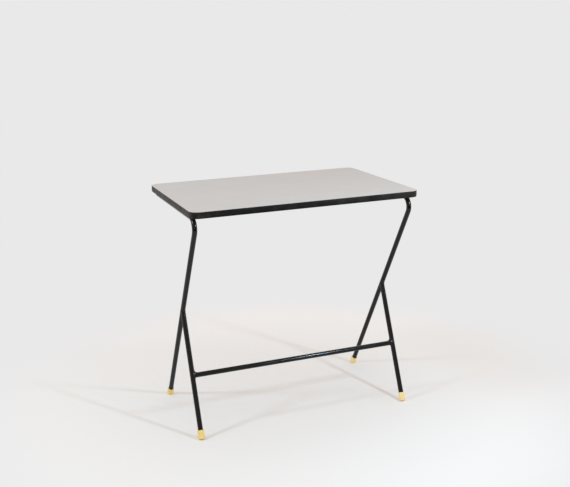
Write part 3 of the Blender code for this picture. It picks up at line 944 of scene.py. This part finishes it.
class SIDETABLE_OT_laminate(bpy.types.Operator):
    """Lay the grey laminate sheet"""

    bl_idname = "side_table.laminate"
    bl_label = "Laminate"

    def execute(self, context):
        table = context.scene.side_table
        shape = round_board(LAMINATE_LOW, LAMINATE_HIGH, table.top.corner_radius)
        upper = [face for face in shape.faces if face.normal.z > LEVEL]
        bevel(shape, [edge for face in upper for edge in face.edges], table.top.arris, ARRIS_STEPS)
        for face in shape.faces:
            face.material_index = 0 if face.normal.z > LEVEL else 1
        sheet = finish("grey melamine laminate", grey_laminate, table.colours)
        core = finish("phenolic laminate core", laminate_core, table.colours)
        add_piece(shape, "laminate_sheet", "top_laminate", "laminate", sheet, core)
        return {"FINISHED"}


class SIDETABLE_OT_edge_strip(bpy.types.Operator):
    """Wrap the black strip round the edge of the top"""

    bl_idname = "side_table.edge_strip"
    bl_label = "Edge strip"

    def execute(self, context):
        table = context.scene.side_table
        sizes = table.top
        shape = round_board(BAND_LOW, BAND_HIGH, sizes.corner_radius)
        level = [face for face in shape.faces if abs(face.normal.z) > LEVEL]
        bmesh.ops.delete(shape, geom=level, context="FACES_ONLY")
        middle = (BAND_LOW.z + BAND_HIGH.z) / 2
        half_height = (BAND_HIGH.z - BAND_LOW.z) / 2
        bmesh.ops.subdivide_edges(shape, edges=upright_edges(shape, middle), cuts=CROWN_STEPS)
        shape.normal_update()
        for vert in shape.verts:
            vert.co -= vert.normal * sizes.strip_crown * ((vert.co.z - middle) / half_height) ** 2
        half_seam = sizes.seam_width / 2
        for seam_side in (-half_seam, half_seam):
            cut(shape, (seam_side, 0, 0), RIGHT)
        middles = {face: face.calc_center_median() for face in shape.faces}
        seam = [face for face, place in middles.items() if place.y > 0 and abs(place.x) < half_seam]
        bmesh.ops.delete(shape, geom=seam, context="FACES")
        give_wall(shape, sizes.strip_thickness)
        vinyl = finish("black vinyl edge strip", black_strip, table.colours)
        add_piece(shape, "vinyl_edge_strip", "edge_band", "edge_strip", vinyl)
        return {"FINISHED"}


class SIDETABLE_OT_leg_tubes(bpy.types.Operator):
    """Bend the tube of each end frame: rail, bend and rear leg"""

    bl_idname = "side_table.leg_tubes"
    bl_label = "Leg tubes"

    def execute(self, context):
        table = context.scene.side_table
        lines = EndFrame(table.tube)
        leg_end = tube_end(lines.rear_foot, lines.leg_up, table.foot)
        enamel = tube_enamel(table.colours)
        for side, offset in SIDES.items():
            shape = bmesh.new()
            ring = ring_across(shape, lines.rail_end, BACK)
            ring = draw_out(shape, ring, lines.bend_end - lines.rail_end)
            bend = bmesh.ops.spin(
                shape,
                geom=verts_of(ring) + ring,
                cent=lines.bend_centre,
                axis=RIGHT,
                angle=lines.turn,
                steps=BEND_STEPS,
            )
            draw_out(shape, of_kind(bend["geom_last"], BMEdge), leg_end - lines.bend_start)
            move(shape, offset)
            give_wall(shape, table.tube.wall)
            leg = add_piece(shape, f"{side}_bent_leg", f"{side}_leg_tube", "enamel", enamel)
            holes = [screw_place(side, number, table) for number in screw_numbers(table)]
            drill_from_below(leg, holes, table.fastener.head_diameter / 2 + table.fastener.access)
        return {"FINISHED"}


class SIDETABLE_OT_front_struts(bpy.types.Operator):
    """Stand the straight front tube of each end frame against its leg"""

    bl_idname = "side_table.front_struts"
    bl_label = "Front tubes"

    def execute(self, context):
        table = context.scene.side_table
        lines = EndFrame(table.tube)
        strut_end = tube_end(lines.front_foot, lines.strut_up, table.foot)
        enamel = tube_enamel(table.colours)
        for side, offset in SIDES.items():
            shape = bmesh.new()
            ring = ring_across(shape, strut_end, lines.strut_up)
            top = draw_out(shape, ring, lines.strut_joint - strut_end)
            TubeJoint(lines.strut_joint, lines.leg_up, -lines.strut_up).cope(verts_of(top))
            move(shape, offset)
            give_wall(shape, table.tube.wall)
            add_piece(shape, f"{side}_strut_tube", f"{side}_front_strut", "enamel", enamel)
        return {"FINISHED"}


class SIDETABLE_OT_stretcher(bpy.types.Operator):
    """Set the cross tube between the front tubes"""

    bl_idname = "side_table.stretcher"
    bl_label = "Stretcher"

    def execute(self, context):
        table = context.scene.side_table
        lines = EndFrame(table.tube)
        left, right = (offset + lines.stretcher_joint for offset in SIDES.values())
        shape = bmesh.new()
        first = ring_across(shape, left, RIGHT)
        last = draw_out(shape, first, right - left)
        TubeJoint(left, lines.strut_up, RIGHT).cope(verts_of(first))
        TubeJoint(right, lines.strut_up, -RIGHT).cope(verts_of(last))
        give_wall(shape, table.tube.wall)
        add_piece(shape, "stretcher_tube", "stretcher", "enamel", tube_enamel(table.colours))
        return {"FINISHED"}


class SIDETABLE_OT_welds(bpy.types.Operator):
    """Run the weld beads round the joints of the frame"""

    bl_idname = "side_table.welds"
    bl_label = "Welds"

    def execute(self, context):
        table = context.scene.side_table
        lines = EndFrame(table.tube)
        enamel = weld_enamel(table.colours)
        for side, offset in SIDES.items():
            strut_joint = TubeJoint(offset + lines.strut_joint, lines.leg_up, -lines.strut_up)
            inward = -offset.normalized()
            stretcher_joint = TubeJoint(offset + lines.stretcher_joint, lines.strut_up, inward)
            for name, joint, upper in (
                ("strut", strut_joint, table.tube.strut_weld),
                ("stretcher", stretcher_joint, table.tube.stretcher_weld),
            ):
                shape = weld_bead(joint, table.tube, upper)
                add_piece(shape, f"{side}_{name}_bead", f"{side}_{name}_weld", "enamel", enamel)
        return {"FINISHED"}


class SIDETABLE_OT_foot_caps(bpy.types.Operator):
    """Push the yellow caps on the feet"""

    bl_idname = "side_table.foot_caps"
    bl_label = "Foot caps"

    def execute(self, context):
        table = context.scene.side_table
        lines = EndFrame(table.tube)
        plastic = finish("aged yellow polythene", yellow_plastic, table.colours)
        for side, offset in SIDES.items():
            for end, foot, up in (
                ("front", lines.front_foot, lines.strut_up),
                ("rear", lines.rear_foot, lines.leg_up),
            ):
                shape = foot_cap(table.foot)
                stand(shape, offset + cap_base(foot, up, table.foot), up)
                flat = cut(shape, (0, 0, 0), UP, clear_inner=True)
                bmesh.ops.edgeloop_fill(shape, edges=flat)
                face_out(shape)
                add_piece(shape, f"{side}_{end}_cap", f"{side}_{end}_foot", "foot_cap", plastic)
        return {"FINISHED"}


class SIDETABLE_OT_rail_plugs(bpy.types.Operator):
    """Plug the open rear ends of the rails"""

    bl_idname = "side_table.rail_plugs"
    bl_label = "Rail plugs"

    def execute(self, context):
        table = context.scene.side_table
        sizes = table.fastener
        lines = EndFrame(table.tube)
        plastic = finish("black polythene", plug_plastic, table.colours)
        stem = TUBE_RADIUS - table.tube.wall - sizes.clearance
        profile = [(0, -sizes.plug_stem), (stem - sizes.plug_chamfer, -sizes.plug_stem)]
        profile += [(stem, sizes.plug_chamfer - sizes.plug_stem), (stem, sizes.clearance)]
        profile += dome(TUBE_RADIUS, sizes.plug_dome, sizes.clearance)
        for side, offset in SIDES.items():
            shape = turned(profile, CAP_SIDES)
            stand(shape, offset + lines.rail_end, BACK)
            add_piece(shape, f"{side}_end_plug", f"{side}_rail_plug", "plug", plastic)
        return {"FINISHED"}


class SIDETABLE_OT_rail_screws(bpy.types.Operator):
    """Drive the slotted screws from inside the rails up into the board"""

    bl_idname = "side_table.rail_screws"
    bl_label = "Rail screws"

    def execute(self, context):
        table = context.scene.side_table
        steel = finish("zinc plated steel", zinc_plate, table.colours)
        for side in SIDES:
            for number in screw_numbers(table):
                node = f"{side}_rail_screw_{number}"
                seat = screw_place(side, number, table)
                shape = slotted_screw(table.fastener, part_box(node)[1].z - seat.z)
                move(shape, seat)
                add_piece(shape, f"{side}_top_screw_{number}", node, "screw", steel)
        return {"FINISHED"}


class SIDETABLE_OT_stage(bpy.types.Operator):
    """Lay the studio floor, hang the lamps and set up the camera"""

    bl_idname = "side_table.stage"
    bl_label = "Stage"

    def execute(self, context):
        scene = context.scene
        table = scene.side_table
        stage = table.stage
        scene.view_settings.view_transform = "Standard"
        add_floor(table)
        add_world(scene, table)
        right_size = stage.right_width, stage.right_height
        left_size = stage.left_width, stage.left_height
        add_lamp("right key", stage.right_place, right_size, stage.right_power, table.colours)
        add_lamp("left lamp", stage.left_place, left_size, stage.left_power, table.colours)
        add_camera(scene, stage)
        return {"FINISHED"}


# Panel and registration

OPERATORS = (
    SIDETABLE_OT_board,
    SIDETABLE_OT_laminate,
    SIDETABLE_OT_edge_strip,
    SIDETABLE_OT_leg_tubes,
    SIDETABLE_OT_front_struts,
    SIDETABLE_OT_stretcher,
    SIDETABLE_OT_welds,
    SIDETABLE_OT_foot_caps,
    SIDETABLE_OT_rail_plugs,
    SIDETABLE_OT_rail_screws,
    SIDETABLE_OT_stage,
)
SETTINGS = (TopSizes, TubeSizes, FootSizes, FastenerSizes, FinishColours, StageSettings, SideTableSettings)


class SIDETABLE_PT_panel(bpy.types.Panel):
    """Sizes and colours of the side table, and a button for each of its pieces"""

    bl_idname = "SIDETABLE_PT_panel"
    bl_label = "Side Table"
    bl_space_type = "VIEW_3D"
    bl_region_type = "UI"
    bl_category = "Side Table"

    def draw(self, context):
        table = context.scene.side_table
        for group in (table.top, table.tube, table.foot, table.fastener, table.colours, table.stage):
            box = self.layout.box()
            for name in group.__annotations__:
                box.prop(group, name)
        for operator in OPERATORS:
            self.layout.operator(operator.bl_idname)


CLASSES = (*SETTINGS, *OPERATORS, SIDETABLE_PT_panel)


def register():
    for cls in CLASSES:
        bpy.utils.register_class(cls)
    bpy.types.Scene.side_table = PointerProperty(type=SideTableSettings)


def unregister():
    del bpy.types.Scene.side_table
    for cls in reversed(CLASSES):
        bpy.utils.unregister_class(cls)


def main():
    register()
    for operator in OPERATORS:
        group, name = operator.bl_idname.split(".")
        getattr(getattr(bpy.ops, group), name)()
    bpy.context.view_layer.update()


if __name__ == "__main__":
    main()
